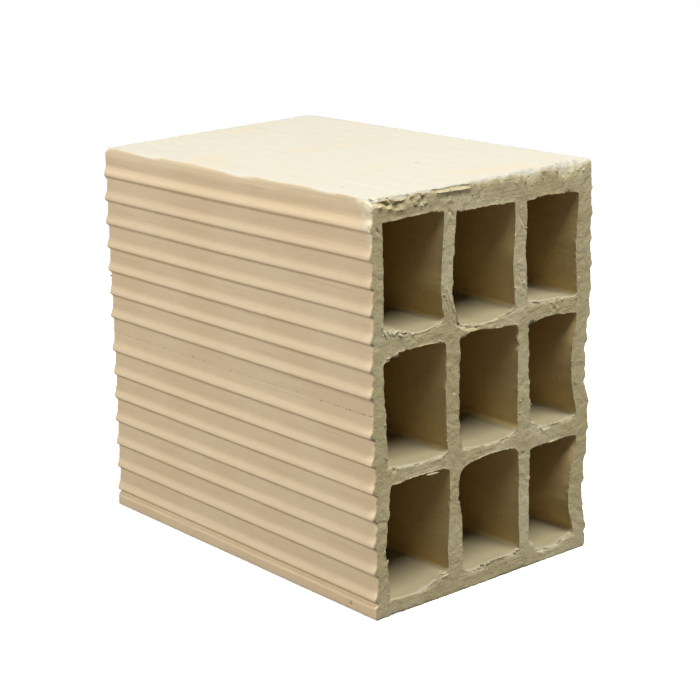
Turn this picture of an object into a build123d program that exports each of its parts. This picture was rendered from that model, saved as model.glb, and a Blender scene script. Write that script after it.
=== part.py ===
from build123d import *
import math
import os

# A hollow clay block: one moulded piece of fired clay, pushed through a die and cut to length.
# X runs across the cut end, Y runs along the extrusion, Z is up.
# The origin is at the middle of the underside. The side with the deeper ribs faces -X.
# The section is drawn flat, with x across and the second number as the height.

# Length between the two wire cuts
block_length = 222.0

# Walls, cells and webs across the width, from -X to +X
left_wall = 9.0
left_cell_width = 37.5
middle_cell_width = 38.5
right_cell_width = 33.0
web_between_columns = 8.0
right_wall = 11.0

# Walls, cells and webs up the height, from the underside
bottom_wall = 9.4
bottom_cell_height = 54.3
middle_cell_height = 54.6
top_cell_height = 52.5
web_between_rows = 8.2
top_wall = 12.8

# Inside corners of the cells
outer_column_corner_radius = 3.0
middle_column_corner_radius = 6.0

# Ribs on the two sides: each one swells downwards and steps back in at a groove
left_rib_depth = 2.0
right_rib_depth = 1.2
groove_pitch_below_seam = 13.35
groove_pitch_above_seam = 12.85
side_root_flat = 5.0
least_bottom_rib_height = 5.0
least_top_rib_height = 10.0

# The wide rib at mid-height, where the flow of clay joined behind the die's core
seam_rib_bottom = 87.6
seam_rib_height = 19.5
seam_root_flat = 7.8

# Ribs on the top: each one falls away towards +X and steps back up
top_rib_depth = 1.3
top_rib_pitch = 12.7
top_root_flat = 4.5
first_top_step = 13.5
least_last_top_land = 4.0

# Edges that all ribs share
rib_crest_flat = 1.2
rib_step_run = 0.7
rib_hollow_share = 0.4

# Long outer corners
left_top_corner_radius = 4.5
right_top_corner_chamfer = 2.0
bottom_corner_chamfer = 1.2

# The right side slumps before firing: how far it has drawn in at the underside
right_side_lean = 5.8

# The wire ran askew at the far cut: how far short of full length it ends at two corners
far_cut_short_top_left = 8.5
far_cut_short_bottom_left = 1.0

column_widths = [left_cell_width, middle_cell_width, right_cell_width]
column_corner_radii = [
    outer_column_corner_radius,
    middle_column_corner_radius,
    outer_column_corner_radius,
]
row_heights = [bottom_cell_height, middle_cell_height, top_cell_height]

column_webs = (len(column_widths) - 1) * web_between_columns
row_webs = (len(row_heights) - 1) * web_between_rows
block_width = left_wall + sum(column_widths) + column_webs + right_wall
block_height = bottom_wall + sum(row_heights) + row_webs + top_wall

left_face = -block_width / 2
right_face = block_width / 2


def drawn_in(z):
    """How far the right side lies in from upright at a height: nothing at its top corner."""
    upright_height = block_height - right_top_corner_chamfer
    return right_side_lean * (1 - z / upright_height)


def on_side(x, z):
    """A point of a side's outline, moved in with the lean where it is on the right side."""
    if x < 0:
        return (x, z)
    return (x - drawn_in(z), z)


def groove_heights():
    """Heights of the side grooves from the lowest up, as many as fit each side of the seam."""
    room_below = seam_rib_bottom - least_bottom_rib_height
    count_below = math.floor(room_below / groove_pitch_below_seam) + 1
    first_above = seam_rib_bottom + seam_rib_height
    room_above = block_height - least_top_rib_height - first_above
    count_above = math.floor(room_above / groove_pitch_above_seam) + 1
    below = [seam_rib_bottom - i * groove_pitch_below_seam for i in range(count_below)]
    above = [first_above + i * groove_pitch_above_seam for i in range(count_above)]
    return sorted(below) + above


def top_step_places():
    """Where the top steps back up, from -X to +X, as many as fit beside the last land."""
    room = block_width - first_top_step - right_top_corner_chamfer - least_last_top_land
    count = math.floor(room / top_rib_pitch) + 1
    return [left_face + first_top_step + i * top_rib_pitch for i in range(count)]


def side_rib(crest, root, low, high):
    """One rib of a side, walked from its upper groove down to its lower groove.

    crest and root are the x of the rib's outermost line and of the groove's floor.
    A flat lies under the upper groove, a hollow curve swells out from it to a narrow
    crest, and a steep step leads back in to the lower groove.
    """
    flat = seam_root_flat if low == seam_rib_bottom else side_root_flat
    flat_end = high - flat
    crest_bottom = low + rib_step_run
    crest_top = crest_bottom + rib_crest_flat
    middle_x = root + (crest - root) * rib_hollow_share
    hollow_start = on_side(root, flat_end)
    hollow_middle = on_side(middle_x, (flat_end + crest_top) / 2)
    hollow_end = on_side(crest, crest_top)
    return [
        Line(on_side(root, high), hollow_start),
        ThreePointArc(hollow_start, hollow_middle, hollow_end),
        Line(hollow_end, on_side(crest, crest_bottom)),
        Line(on_side(crest, crest_bottom), on_side(root, low)),
    ]


def lowest_rib(crest, root, groove, corner):
    """The short rib under the lowest groove, down to the bevelled bottom corner."""
    shoulder = groove - abs(crest - root)
    return [
        Line(on_side(root, groove), on_side(crest, shoulder)),
        Line(on_side(crest, shoulder), on_side(crest, bottom_corner_chamfer)),
        Line(on_side(crest, bottom_corner_chamfer), corner),
    ]


def top_rib(left, right):
    """One rib of the top, walked from its crest to the foot of the next step and up it."""
    crest = block_height
    root = block_height - top_rib_depth
    crest_end = left + rib_crest_flat
    foot = right - rib_step_run
    flat_start = foot - top_root_flat
    middle = ((crest_end + flat_start) / 2, root + top_rib_depth * rib_hollow_share)
    return [
        Line((left, crest), (crest_end, crest)),
        ThreePointArc((crest_end, crest), middle, (flat_start, root)),
        Line((flat_start, root), (foot, root)),
        Line((foot, root), (right, crest)),
    ]


def side_outline(face, depth, bottom_corner):
    """One whole side, walked down from the crest of its topmost rib to the underside."""
    inward = 1 if face < 0 else -1
    root = face + inward * depth
    grooves = groove_heights()
    edges = [Line(on_side(face, grooves[-1] + rib_step_run), on_side(root, grooves[-1]))]
    for i in range(len(grooves) - 1, 0, -1):
        edges += side_rib(face, root, grooves[i - 1], grooves[i])
    edges += lowest_rib(face, root, grooves[0], bottom_corner)
    return edges


def top_outline():
    """The top between its two corners, with its row of ribs."""
    steps = top_step_places()
    edges = [
        Line((left_face + left_top_corner_radius, block_height), (steps[0], block_height))
    ]
    for left, right in zip(steps[:-1], steps[1:]):
        edges += top_rib(left, right)
    edges.append(
        Line((steps[-1], block_height), (right_face - right_top_corner_chamfer, block_height))
    )
    return edges


def outer_outline():
    """The closed outline of the die: left side, underside, right side, corners and top."""
    left_bottom = (left_face + bottom_corner_chamfer, 0)
    right_bottom = (right_face - drawn_in(0) - bottom_corner_chamfer, 0)
    top_crest = groove_heights()[-1] + rib_step_run
    left_shoulder = (left_face, block_height - left_top_corner_radius)
    right_shoulder = (right_face, block_height - right_top_corner_chamfer)
    round_inset = left_top_corner_radius * (1 - math.sqrt(0.5))
    edges = side_outline(left_face, left_rib_depth, left_bottom)
    edges += side_outline(right_face, right_rib_depth, right_bottom)
    edges += top_outline()
    edges += [
        Line(left_bottom, right_bottom),
        Line((left_face, top_crest), left_shoulder),
        ThreePointArc(
            left_shoulder,
            (left_face + round_inset, block_height - round_inset),
            (left_face + left_top_corner_radius, block_height),
        ),
        Line(on_side(right_face, top_crest), right_shoulder),
        Line(right_shoulder, (right_face - right_top_corner_chamfer, block_height)),
    ]
    return edges


def cell_outline(left, right, bottom, top, wanted_radius):
    """One cell with round corners. In the last column its right side leans with the wall."""
    leans = right > right_face - right_wall - 0.001
    right_at_bottom = right - drawn_in(bottom) if leans else right
    right_at_top = right - drawn_in(top) if leans else right
    corners = [(left, bottom), (right_at_bottom, bottom), (right_at_top, top), (left, top)]
    radius = min(wanted_radius, 0.4 * (right_at_bottom - left), 0.4 * (top - bottom))
    outline = Polygon(*corners, align=None)
    return fillet(outline.vertices(), radius)


def cell_outlines():
    """The outlines of the cells, column by column and row by row."""
    cells = []
    x = left_face + left_wall
    for width, wanted_radius in zip(column_widths, column_corner_radii):
        z = bottom_wall
        for height in row_heights:
            cells.append(cell_outline(x, x + width, z, z + height, wanted_radius))
            z += height + web_between_rows
        x += width + web_between_columns
    return cells


def far_cut_plane():
    """The plane of the askew far cut, facing the near end. It meets the right top corner."""
    far = block_length / 2
    top_right = Vector(right_face, far, block_height)
    top_left = Vector(left_face, far - far_cut_short_top_left, block_height)
    bottom_left = Vector(left_face, far - far_cut_short_bottom_left, 0)
    along_top = top_left - top_right
    down_left = bottom_left - top_left
    return Plane(top_right, x_dir=along_top, z_dir=along_top.cross(down_left))


def build_hollow_clay_block():
    """The section with its cells, pushed out half way to each cut end, then cut askew."""
    section = make_face(outer_outline())
    for cell in cell_outlines():
        section -= cell
    block = extrude(Plane.XZ * section, amount=block_length / 2, both=True)
    return split(block, bisect_by=far_cut_plane(), keep=Keep.TOP)


os.makedirs("parts", exist_ok=True)
hollow_clay_block = build_hollow_clay_block()
export_step(hollow_clay_block, "parts/hollow_clay_block.step")
box = hollow_clay_block.bounding_box()
print("solids:", len(hollow_clay_block.solids()))
print("valid:", hollow_clay_block.is_valid)
print("box min:", box.min, "box max:", box.max)
print("volume cm3:", round(hollow_clay_block.volume / 1000, 1))
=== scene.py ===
# %% [markdown]
# # A hollow clay block
#
# A hollow clay block is soft clay pushed through a steel die, cut to length by a taut wire and
# fired. The die gives it straight ribs outside and nine straight cells inside, and the wire
# leaves two rough ends with torn lips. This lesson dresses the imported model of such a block.
#
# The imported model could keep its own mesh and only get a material, but a plain extrusion looks
# like a drawing: its webs are dead straight and its edges are knife-sharp. So one new surface
# is computed here on the same sizes, with the bows, tears and chips of the real thing, and it
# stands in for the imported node.

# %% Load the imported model
import math
import bpy
import numpy as np
from mathutils import Matrix, Vector


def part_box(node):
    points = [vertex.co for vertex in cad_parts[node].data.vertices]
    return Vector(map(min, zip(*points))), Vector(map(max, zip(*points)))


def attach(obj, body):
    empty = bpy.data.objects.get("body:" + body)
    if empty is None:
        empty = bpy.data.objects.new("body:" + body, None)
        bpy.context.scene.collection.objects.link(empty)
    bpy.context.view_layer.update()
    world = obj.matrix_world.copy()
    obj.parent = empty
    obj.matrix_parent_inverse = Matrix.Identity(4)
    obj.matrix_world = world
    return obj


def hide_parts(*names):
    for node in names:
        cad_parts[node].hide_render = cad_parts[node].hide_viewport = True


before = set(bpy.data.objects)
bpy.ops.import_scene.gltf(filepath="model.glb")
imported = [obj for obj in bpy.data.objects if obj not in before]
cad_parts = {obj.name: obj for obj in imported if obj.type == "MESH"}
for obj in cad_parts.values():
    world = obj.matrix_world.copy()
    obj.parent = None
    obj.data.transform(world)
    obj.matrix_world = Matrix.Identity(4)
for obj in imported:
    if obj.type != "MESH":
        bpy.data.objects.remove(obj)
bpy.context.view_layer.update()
low_corner, high_corner = [np.array(c) * 1000 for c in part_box("hollow_clay_block")]
print("block box in millimetres:", low_corner.round(2), high_corner.round(2))

# %% [markdown]
# ## Sizes
#
# Everything is worked out in millimetres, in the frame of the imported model: X across the cut
# end, Y along the cells, Z up. The outer sizes are read from the model. The walls and webs are
# written here as they are in the model's source. The ribs are a little shallower and softer
# than the model's, as firing and handling leave them.

# %% The die's sizes
LEFT, NEAR, BOTTOM = low_corner
RIGHT, FAR, TOP = high_corner
LENGTH = FAR - NEAR
WALL_X = LEFT + np.array([9.0, 46.5, 54.5, 93.0, 101.0, 134.0])
FLOOR_Z = np.array([9.4, 63.7, 71.9, 126.5, 134.7, 187.2])
WEB_X = (WALL_X[1:-1:2] + WALL_X[2::2]) / 2
WEB_Z = (FLOOR_Z[1:-1:2] + FLOOR_Z[2::2]) / 2
LEFT_RIB, RIGHT_RIB, TOP_RIB = 1.9, 1.1, 0.2
SEAM_LOW, SEAM_HIGH = 87.6, 106.5
PITCH_BELOW, PITCH_ABOVE, SIDE_GROOVES = 13.35, 12.85, 7
below = SEAM_LOW - PITCH_BELOW * np.arange(SIDE_GROOVES)
above = SEAM_HIGH + PITCH_ABOVE * np.arange(SIDE_GROOVES)
GROOVES = np.concatenate([below[::-1], above])
TOP_FIRST, TOP_PITCH, TOP_FLAT = 13.5, 12.7, 4.5
TOP_STEPS = LEFT + TOP_FIRST + TOP_PITCH * np.arange(10)
STEP_RUN, CREST_FLAT, SWELL = 2.2, 0.2, 5.0
SWELL_SHARE, SLOPE_SHARE = 0.68, 0.32
print("grooves:", len(GROOVES), "webs at x", WEB_X, "and z", WEB_Z)

# %% [markdown]
# ## Noise for clay
#
# Fired clay is never smooth, so most shapes below add a little noise. Blender has noise
# textures, but they live in shaders. Here the noise moves real points, so it is computed with
# numpy: random numbers sit on the corners of a grid of cubes, and each point blends the eight
# around it. A fixed seed makes every run the same.

# %% Smooth random field
def clay_noise(points, size, seed):
    """Value noise in -1..1: hashed corner values of a cubic grid with edge `size`,
    blended with the weight 3f^2 - 2f^3 along each axis."""
    q = points / size
    cell = np.floor(q).astype(np.int64)
    f = q - cell
    f = f * f * (3 - 2 * f)
    total = np.zeros(len(points))
    for corner in range(8):
        step = np.array([corner & 1, corner >> 1 & 1, corner >> 2 & 1])
        c = cell + step
        h = (c[:, 0] * 73856093) ^ (c[:, 1] * 19349663) ^ (c[:, 2] * 83492791)
        h = h ^ (seed * 2654435761)
        h = (h ^ (h >> 13)) * 1274126177 & 0x7FFFFFFF
        h = (h ^ (h >> 15)) * 668265263 & 0x7FFFFFFF
        weight = np.prod(np.where(step == 1, f, 1 - f), axis=1)
        total += weight * (h % 65536 / 32767.5 - 1)
    return total


def rough(points, size, seed, octaves=3):
    """Sum of noises, each half the size and a bit more than half the strength of the last."""
    total = np.zeros(len(points))
    for k in range(octaves):
        total += 0.55 ** k * clay_noise(points, size / 2 ** k, seed + 17 * k)
    return total / 1.6


def smooth_step(t):
    """0 below 0, 1 above 1, and the cubic 3t^2 - 2t^3 between."""
    t = np.clip(t, 0, 1)
    return t * t * (3 - 2 * t)


probe = rough(np.random.default_rng(1).uniform(-50, 50, (2000, 3)), 8, 1)
print("noise spread:", probe.min().round(2), "to", probe.max().round(2))

# %% [markdown]
# ## Where the section is sampled
#
# The section is cut into nine tiles, one around each cell, that meet on the middle lines of
# the webs. One list of heights and one list of places across serve every tile, so neighbours
# share their border points and the mesh closes without gaps. The lists are dense where a rib
# steps back, because a step of under a millimetre would vanish between wider samples.

# %% Heights and places of the samples
def rib_samples(starts, ends):
    """For each rib from start to end: the step, the crest, six points along the swell, and
    three on the flat above it."""
    swell = STEP_RUN + CREST_FLAT + SWELL * np.array([0, 0.17, 0.34, 0.52, 0.74, 1.0])
    step = np.array([0, 0.25, 0.5, 0.75, 1]) * STEP_RUN
    return np.concatenate([
        np.concatenate([a + step, a + swell, np.linspace(a + swell[-1], b, 5)[1:-1]])
        for a, b in zip(starts, ends)])


seam_heights = np.array([98.2, 99.0, 99.7, 100.3, 100.9, 101.6, 102.5])
heights = np.concatenate([
    [0, 1.2, 3.4, 5.0, 6.2], rib_samples(GROOVES[:-1], GROOVES[1:]), seam_heights,
    rib_samples(GROOVES[-1:], [194]), [194, 196, 197, 198, 199, 200],
])
along_top_rib = np.array([-0.7, -0.35, 0, 1.2, 2.6, 4.1, 5.6, 7.1, 9.0, 10.6])
places = np.concatenate([
    LEFT + np.array([0, 0.9, 1.8, 2.8, 4.0, 5.5, 7, 8.5, 10.5, 12.3]),
    np.concatenate([step + along_top_rib for step in TOP_STEPS]),
    [RIGHT - 1.0, RIGHT],
])
CLOSEST, WIDEST_UP, WIDEST_ACROSS = 0.6, 1.15, 1.45


def with_borders(samples, borders):
    """Sorted samples without those closer than CLOSEST to a border, plus the borders."""
    samples = np.unique(samples.round(4))
    gap = np.abs(samples[:, None] - borders[None, :]).min(axis=1)
    return np.sort(np.concatenate([samples[gap > CLOSEST], borders]))


def split_wide_gaps(samples, widest):
    """Adds the middle of every gap wider than `widest`."""
    gaps = np.diff(samples)
    wide = gaps > widest
    return np.sort(np.concatenate([samples, samples[:-1][wide] + gaps[wide] / 2]))


heights = with_borders(heights, np.array([BOTTOM, *WEB_Z, TOP]))
places = with_borders(places[places <= RIGHT], np.array([LEFT, *WEB_X, RIGHT]))
heights = split_wide_gaps(heights, WIDEST_UP)
places = split_wide_gaps(places, WIDEST_ACROSS)
print("heights:", len(heights), "places:", len(places))

# %% [markdown]
# ## The ribbed outline
#
# Each side rib is flat above, swells out in a hollow curve and steps back in at the next
# groove, so light from above lies on the swell and each step throws a thin shadow. A
# bevel or a displacement texture could fake it, but the outline is simple enough to write as
# one function: how far the surface lies behind the crest line at a given height.

# %% How deep the ribs are
def side_inset(z, depth):
    """Behind the crest, with s the height above the groove below: depth * cos^2 over the
    step, 0 on the crest, then SWELL_SHARE of the depth as an S-curve 3t^2 - 2t^3 over the
    swell and SLOPE_SHARE as a straight slope up to the next groove. The lowest rib ends 1.6 mm
    under its groove, and the topmost one gets shallower towards the top."""
    k = np.clip(np.searchsorted(GROOVES, z, side="right") - 1, 0, len(GROOVES) - 1)
    s = z - GROOVES[k]
    step = np.cos(np.clip(s / STEP_RUN, 0, 1) * np.pi / 2) ** 2
    t = (s - STEP_RUN - CREST_FLAT) / SWELL
    pitch = np.diff(GROOVES, append=GROOVES[-1] + PITCH_ABOVE)[k]
    slope = np.clip((s - STEP_RUN - CREST_FLAT) / (pitch - STEP_RUN - CREST_FLAT), 0, 1)
    inset = np.where(s < STEP_RUN, step, SWELL_SHARE * smooth_step(t) + SLOPE_SHARE * slope)
    top_land = 1 - 0.3 * smooth_step((z - 190) / 6)
    lowest = np.clip((z - GROOVES[0] + 1.6) / 1.6, 0, 1)
    inset = np.where(z >= GROOVES[-1] + 1, inset * top_land, inset)
    return depth * np.where(z <= GROOVES[0], lowest, inset)


def top_inset(x):
    """The same for the top, walked across: 0 on the crest, TOP_RIB * (1 - (1 - t)^1.32) down
    the hollow fall, TOP_RIB on the flat, and a straight step back up."""
    k = np.clip(np.searchsorted(TOP_STEPS, x, side="right") - 1, 0, len(TOP_STEPS) - 2)
    a, b = TOP_STEPS[k], TOP_STEPS[k + 1]
    flat_from, foot = b - STEP_RUN - TOP_FLAT, b - STEP_RUN
    t = np.clip((x - a - CREST_FLAT) / (flat_from - a - CREST_FLAT), 0, 1)
    fall = TOP_RIB * (1 - (1 - t) ** 1.32)
    inset = np.where(x > foot, TOP_RIB * (b - x) / STEP_RUN, fall)
    return np.where((x < TOP_STEPS[0]) | (x > TOP_STEPS[-1]), 0, inset)


print("deepest side inset:", side_inset(heights, LEFT_RIB).max())
print("deepest top inset:", top_inset(places).max().round(2))

# %% [markdown]
# ## How the wet clay drifted
#
# Soft clay sags and bows before it is fired. On this block the web between the first two
# columns leans left in the top row, the right wall bulges inwards further down, and the
# right side draws in towards the bottom. These are shapes as long as a cell, so they are
# given as a few measured offsets along each wall and floor line, in millimetres, and every
# point between is blended from the two nearest lines.

# %% Measured drift of the walls and floors at the near end
wall_drift = np.array([
    [-0.2, -1.2, -1.7, 0.5, 1.6, 1.0, 0.3, 0.1, -0.5, -0.5, 0.2, 0.5, 1.0, 1.0, 0.9],
    [-0.7, -0.5, 0.3, 0.9, 1.2, 0.1, -0.4, -0.5, 0.1, 0.4, -0.4, -2.5, -1.6, -0.7, 0.7],
    [1.0, 0.9, 0.7, -0.8, -0.8, 1.2, -0.0, -0.1, 0.9, 1.3, -0.7, -3.1, -2.6, -1.3, 0.2],
    [0.4, -0.2, -0.2, 0.3, -0.1, -0.4, -0.3, 0.0, 0.3, 0.8, -1.4, -2.2, -2.3, -1.0, -0.7],
    [-1.3, -1.2, -0.9, -0.3, 0.3, 0.2, 0.0, -0.5, -0.3, -0.2, -0.4, -1.4, -1.9, -1.2, -0.8],
    [-3.2, -6.6, -5.8, -4.0, -0.3, -1.0, -3.7, -4.2, -3.4, -0.4, -0.0, -0.8, -0.9, 0.1, 0.9],
])
floor_drift = np.array([
    [-1.0, -1.8, -1.6, 0.1, 3.6, -0.2, -0.8, 0.9, 0.9, 0.8, 4.0, -2.4, -3.2, -1.3, 0.5],
    [0.6, 1.4, 1.3, 1.4, 0.8, -1.0, 0.5, 1.6, 1.3, 0.4, -2.7, -2.5, -2.2, -2.2, -2.4],
    [1.6, 0.5, 0.1, -0.3, 0.7, 0.2, -0.8, -1.3, -1.1, 0.5, 3.7, -0.5, -1.1, -0.8, -0.5],
    [-2.0, 0.9, 0.9, 1.0, 0.0, -0.4, 1.8, 0.6, -0.0, 0.0, -2.6, -0.5, -0.3, -1.1, -1.8],
    [4.2, 2.8, 0.0, -0.1, 2.5, -1.9, -2.8, -3.7, -2.4, -1.0, 2.0, 0.3, 0.1, -0.7, -1.9],
    [1.3, 1.6, 1.8, 2.0, 1.5, -0.5, -0.6, -0.6, -0.7, -1.0, -1.9, -1.0, -1.3, -1.8, -2.2],
])
right_edge_z = np.array([0, 12, 18, 24, 34, 44, 53, 68, 79, 88,
                         104, 117, 123, 134, 149, 167, 176, 190, 200.0])
right_edge_x = np.array([66.4, 67.1, 66.6, 65.2, 65.6, 66.4, 68.2, 69.2, 69.0, 67.2,
                         67.8, 69.0, 70.2, 71.0, 71.9, 72.3, 72.5, 72.4, 71.6])
left_edge_z = np.array([0, 95, 120, 135, 150, 165, 178, 188, 192, 197, 200.0])
left_edge_in = np.array([0, 0, 0.6, 1.3, 1.8, 1.9, 2.0, 2.8, 3.4, 3.6, 3.6])


def stations(lines):
    """Five stations in each cell, at fixed shares of the way between its two edge lines."""
    share = np.array([0.06, 0.28, 0.5, 0.72, 0.94])
    return np.concatenate([a + share * (b - a) for a, b in zip(lines[::2], lines[1::2])])


station_z, station_x = stations(FLOOR_Z), stations(WALL_X)
print("stations along a wall:", station_z.round(1))

# %% The drift as a smooth field
def along_line(values, known_at, where):
    """Offsets along one line: straight from station to station, then the mean of five places
    up to 3 mm apart, which rounds the corners."""
    shifts = np.array([-3.0, -1.5, 0, 1.5, 3.0])
    return np.mean([np.interp(where + s, known_at, values) for s in shifts], axis=0)


def between_lines(lines, offsets, where):
    """Offsets known on sorted lines (one row each), blended linearly to the points between."""
    k = np.clip(np.searchsorted(lines, where, side="right") - 1, 0, len(lines) - 2)
    t = np.clip((where - lines[k]) / (lines[k + 1] - lines[k]), 0, 1)
    n = np.arange(len(where))
    return offsets[k, n] * (1 - t) + offsets[k + 1, n] * t


LEAN, UPRIGHT = 5.8, 198.0
RIGHT_SHIFT, SKIN_REACH = 1.1, 9


def drift(x, z, strength):
    """New x and z of section points. `strength` is 1 at the near end, where the offsets were
    measured, and fades to the die's own section, whose right side leans in by LEAN at the
    underside; the lean grows from nothing at the last web to its whole at the right wall. The
    skin only moves sideways, so up and down moves fade out within SKIN_REACH of it."""
    into_column = np.clip((x - WALL_X[4]) / (WALL_X[5] - WALL_X[4]), 0, 1)
    side_lean = -LEAN * into_column * np.clip(1 - z / UPRIGHT, 0, 1)
    right_edge = np.interp(z, right_edge_z, right_edge_x) + RIGHT_SHIFT
    right = np.minimum(right_edge, RIGHT) - RIGHT
    left = np.interp(z, left_edge_z, left_edge_in)
    skin_hold = smooth_step((x - LEFT) / SKIN_REACH) * smooth_step((RIGHT - x) / SKIN_REACH)
    x_rows = np.vstack([left, *[along_line(w, station_z, z) for w in wall_drift], right])
    z_rows = np.vstack([0 * x, *[along_line(w, station_x, x) for w in floor_drift], 0 * x])
    dx = between_lines(np.array([LEFT, *WALL_X, RIGHT]), x_rows, x)
    dz = between_lines(np.array([BOTTOM, *FLOOR_Z, TOP]), z_rows, z)
    return x + strength * dx + (1 - strength) * side_lean, z + strength * dz * skin_hold


print("drift at the middle of the right wall:", drift(np.array([RIGHT]), np.array([90.0]), 1.0))

# %% [markdown]
# ## Nine tiles
#
# A tile is the part of the section around one cell. Its inner ring is the cell's outline and
# its outer ring is the tile's rectangle, and both rings have the same number of points, so the
# cut end between them is a grid and the cell's inside is another. The corner points of both
# rings slide on arcs, which rounds the cells and the block's long edges. The radii go round a
# cell from its lower left corner to the right, up and back.

# %% Rings with round corners
def round_ring(px, pz, w, h, radii):
    """Points on the outline of a w by h rectangle. Near a corner of radius r, the run s from
    the corner turns by 45 degrees * (1 - s/r) along the arc, so a corner point lands on the
    middle of its arc."""
    out_x, out_z = px.copy(), pz.copy()
    for (right, upper), r in radii.items():
        qx = w - px if right else px
        qz = h - pz if upper else pz
        run = np.maximum(qx, qz)
        near = (run <= r) & (np.minimum(qx, qz) < 1e-9)
        turn = np.pi / 4 * (1 - run / r)
        along, away = r - r * np.sin(turn), r - r * np.cos(turn)
        nx = np.where(qx >= qz, along, away)
        nz = np.where(qx >= qz, away, along)
        out_x = np.where(near, w - nx if right else nx, out_x)
        out_z = np.where(near, h - nz if upper else nz, out_z)
    return out_x, out_z


def tile_ring(xs, zs):
    """The rectangle's outline from the lower left corner: along the bottom, up the right,
    back along the top and down the left. Also the outward direction of each side."""
    n, m = len(xs) - 1, len(zs) - 1
    x = np.concatenate([xs[:-1], np.full(m, xs[-1]), xs[:0:-1], np.full(m, xs[0])])
    z = np.concatenate([np.full(n, zs[0]), zs[:-1], np.full(n, zs[-1]), zs[:0:-1]])
    side = np.repeat([0, 1, 2, 3], [n, m, n, m])
    return x, z, side


# %% The nine tiles
USUAL_RADII = (2.2, 2.0, 1.6, 1.8)
MOUTH_RADII = {(0, 2): (2.4, 3, 1.6, 1.0), (1, 0): (2.5, 2.5, 3, 6.5), (1, 1): (3.5, 3, 1.8, 2.5),
               (1, 2): (6, 2.5, 1.6, 1.6), (2, 1): (3, 2, 1.5, 3.5)}
LONG_EDGES = {(0, 0): 1.2, (1, 0): 1.4, (1, 1): 2.2, (0, 1): 4.0}
LEFT_EDGE, RIGHT_EDGE = LONG_EDGES[0, 1], LONG_EDGES[1, 1]
LEFT_LAND = side_inset(np.array([TOP - LEFT_EDGE]), LEFT_RIB)[0]
RIGHT_LAND = side_inset(np.array([TOP - RIGHT_EDGE]), RIGHT_RIB)[0]
wide, high = RIGHT - LEFT, TOP - BOTTOM
column_edges, row_edges = [LEFT, *WEB_X, RIGHT], [BOTTOM, *WEB_Z, TOP]
tiles = []
for i in range(3):
    for j in range(3):
        xs = places[(places >= column_edges[i]) & (places <= column_edges[i + 1])]
        zs = heights[(heights >= row_edges[j]) & (heights <= row_edges[j + 1])]
        x, z, side = tile_ring(xs, zs)
        cell_low = np.array([WALL_X[2 * i], FLOOR_Z[2 * j]])
        cell_size = np.array([WALL_X[2 * i + 1], FLOOR_Z[2 * j + 1]]) - cell_low
        u = (x - xs[0]) / (xs[-1] - xs[0]) * cell_size[0]
        v = (z - zs[0]) / (zs[-1] - zs[0]) * cell_size[1]
        bl, br, tr, tl = MOUTH_RADII.get((i, j), USUAL_RADII)
        cx, cz = round_ring(u, v, *cell_size, {(0, 0): bl, (1, 0): br, (1, 1): tr, (0, 1): tl})
        outer_x = x + np.where(x == LEFT, side_inset(z, LEFT_RIB), 0)
        outer_x = outer_x - np.where(x == RIGHT, side_inset(z, RIGHT_RIB), 0)
        outer_z = z - np.where(z == TOP, top_inset(x), 0)
        rx, rz = round_ring(x - LEFT, z - BOTTOM, wide, high, LONG_EDGES)
        at_corner = (np.abs(rx + LEFT - x) > 1e-9) | (np.abs(rz + BOTTOM - z) > 1e-9)
        from_left = LEFT_LAND * np.clip(1 - rx / LEFT_EDGE, 0, 1)
        from_right = RIGHT_LAND * np.clip(1 - (wide - rx) / RIGHT_EDGE, 0, 1)
        inward = np.where(z > TOP - 8, from_left - from_right, 0)
        outer_x = np.where(at_corner, rx + LEFT + inward, outer_x)
        outer_z = np.where(at_corner, rz + BOTTOM, outer_z)
        on_skin = (x == LEFT) | (x == RIGHT) | (z == TOP) | (z == BOTTOM)
        tiles.append(dict(cell=(i, j), cx=cx + cell_low[0], cz=cz + cell_low[1], ox=outer_x,
                          oz=outer_z, side=side, on_skin=on_skin, rx=x, rz=z))
print("tiles:", len(tiles), "ring points:", sum(len(t["side"]) for t in tiles))

# %% [markdown]
# ## One closed surface
#
# Each tile now gives four grids: the near cut face, the cell's tube, the far cut face and,
# where the tile touches the outside, a strip of ribbed skin. The rows stand close together at
# the ends, where the clay is torn, and far apart in the middle. Points that two grids share
# are merged afterwards by their position, so the whole block is one watertight skin.

# %% Rows along the block
face_steps = np.array([0, 0.06, 0.14, 0.25, 0.38, 0.52, 0.66, 0.78, 0.88, 0.95, 1])
far_face_steps = np.array([0, 0.15, 0.5, 0.85, 1])
near_rows = np.array([0, 0.45, 1, 1.7, 2.6, 3.8, 5.3, 7.2, 10, 14, 19, 25])
far_rows = LENGTH - np.array([9, 4, 1.5, 0.6, 0])
skin_rows = NEAR + np.concatenate([near_rows, np.arange(34, LENGTH - 15, 13.5), far_rows])
tube_rows = NEAR + np.array([0, 0.5, 1.1, 2, 3.3, 5.6, 10, 18, 34, 70, 130, 208, 220.6, 222])

# %% Grids of one tile
point_parts, face_parts = [], []
NONE = 99.0
NEAR_CUT, FAR_CUT, TUBE, OUTSIDE = 1, 2, 3, 4


def add_grid(x, y, z, gap, rim_gap, tile, kind, flip, keep=None):
    """Adds a grid of (rows, ring points) with the facts each point needs later: its distance
    from the cell's edge and from the skin's edge, and the two ring points it hangs between."""
    rows, n = x.shape
    facts = np.stack([x, y + 0 * x, z, gap + 0 * x, rim_gap + 0 * x] +
                     [tile[k][None, :] + 0 * x for k in ("cx", "cz", "ox", "oz", "rx", "rz")] +
                     [kind + 0 * x], axis=-1).reshape(-1, 12)
    first = sum(len(p) for p in point_parts)
    index = first + np.arange(rows * n).reshape(rows, n)
    after = np.roll(index, -1, axis=1)
    quads = np.stack([index[:-1], after[:-1], after[1:], index[1:]], axis=-1)
    if keep is not None:
        quads = quads[:, keep]
    quads = quads.reshape(-1, 4)
    point_parts.append(facts)
    face_parts.append(quads[:, ::-1] if flip else quads)


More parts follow.
